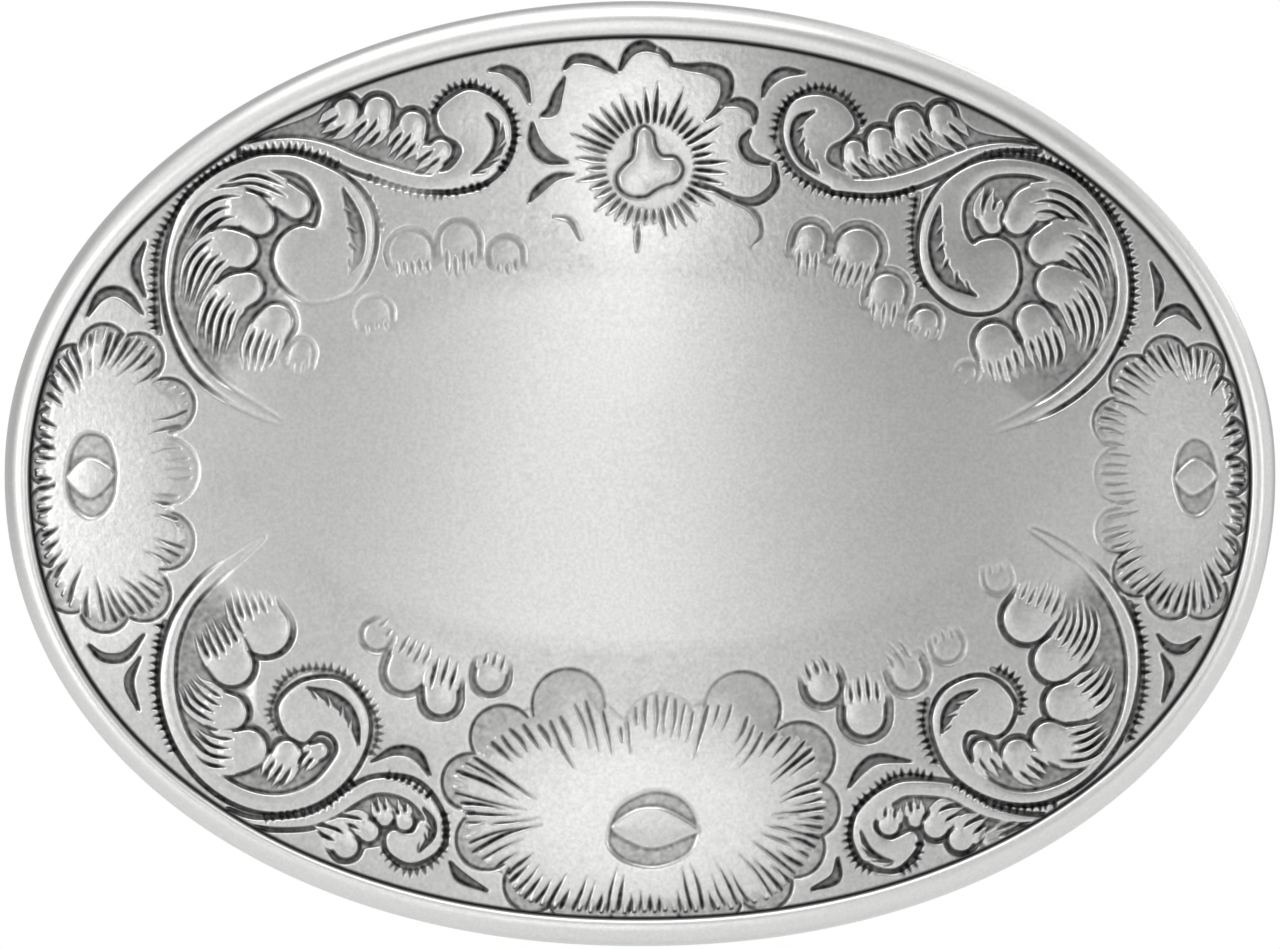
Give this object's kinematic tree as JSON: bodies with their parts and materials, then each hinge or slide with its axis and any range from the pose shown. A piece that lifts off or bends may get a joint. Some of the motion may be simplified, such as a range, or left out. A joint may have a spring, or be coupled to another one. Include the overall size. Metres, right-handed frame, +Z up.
{
  "type": "belt buckle",
  "caption": "Oval western belt buckle with an engraved domed face and a polished rim, a swinging wire strap bail and a belt hook behind.",
  "frame": {"origin": "middle of the back plate's rear face, where the buckle lies against the belt", "axes": "+Z up and -Y out of the engraved face, as the buckle is worn; +X towards the strap bail's end"},
  "size_m": [0.095, 0.0196, 0.0702],
  "materials": {
    "antique_silver": "engraved silver plate on brass, darkened in the cuts and satin on the ground",
    "polished_silver": "polished silver plate on brass",
    "satin_silver": "brushed silver plate on brass sheet",
    "plated_steel": "bright nickel plate on steel"
  },
  "bodies": {
    "buckle": {"rim_band": "polished_silver", "face_plate": "antique_silver", "back_plate": "satin_silver", "bail_clip": "satin_silver", "clip_rivet_1": "plated_steel", "clip_rivet_2": "plated_steel", "clip_rivet_3": "plated_steel", "clip_rivet_4": "plated_steel", "hook_base": "satin_silver", "belt_hook": "plated_steel", "hook_rivet_1": "plated_steel", "hook_rivet_2": "plated_steel"},
    "bail": {"strap_bail": "plated_steel"}
  },
  "joints": [
    {"name": "bail_swing", "type": "hinge", "parent": "buckle", "child": "bail", "pos_m": [0.01785, 0.00261, 0], "axis": [0, 0, 1], "range_deg": [-14, 160]}
  ]
}
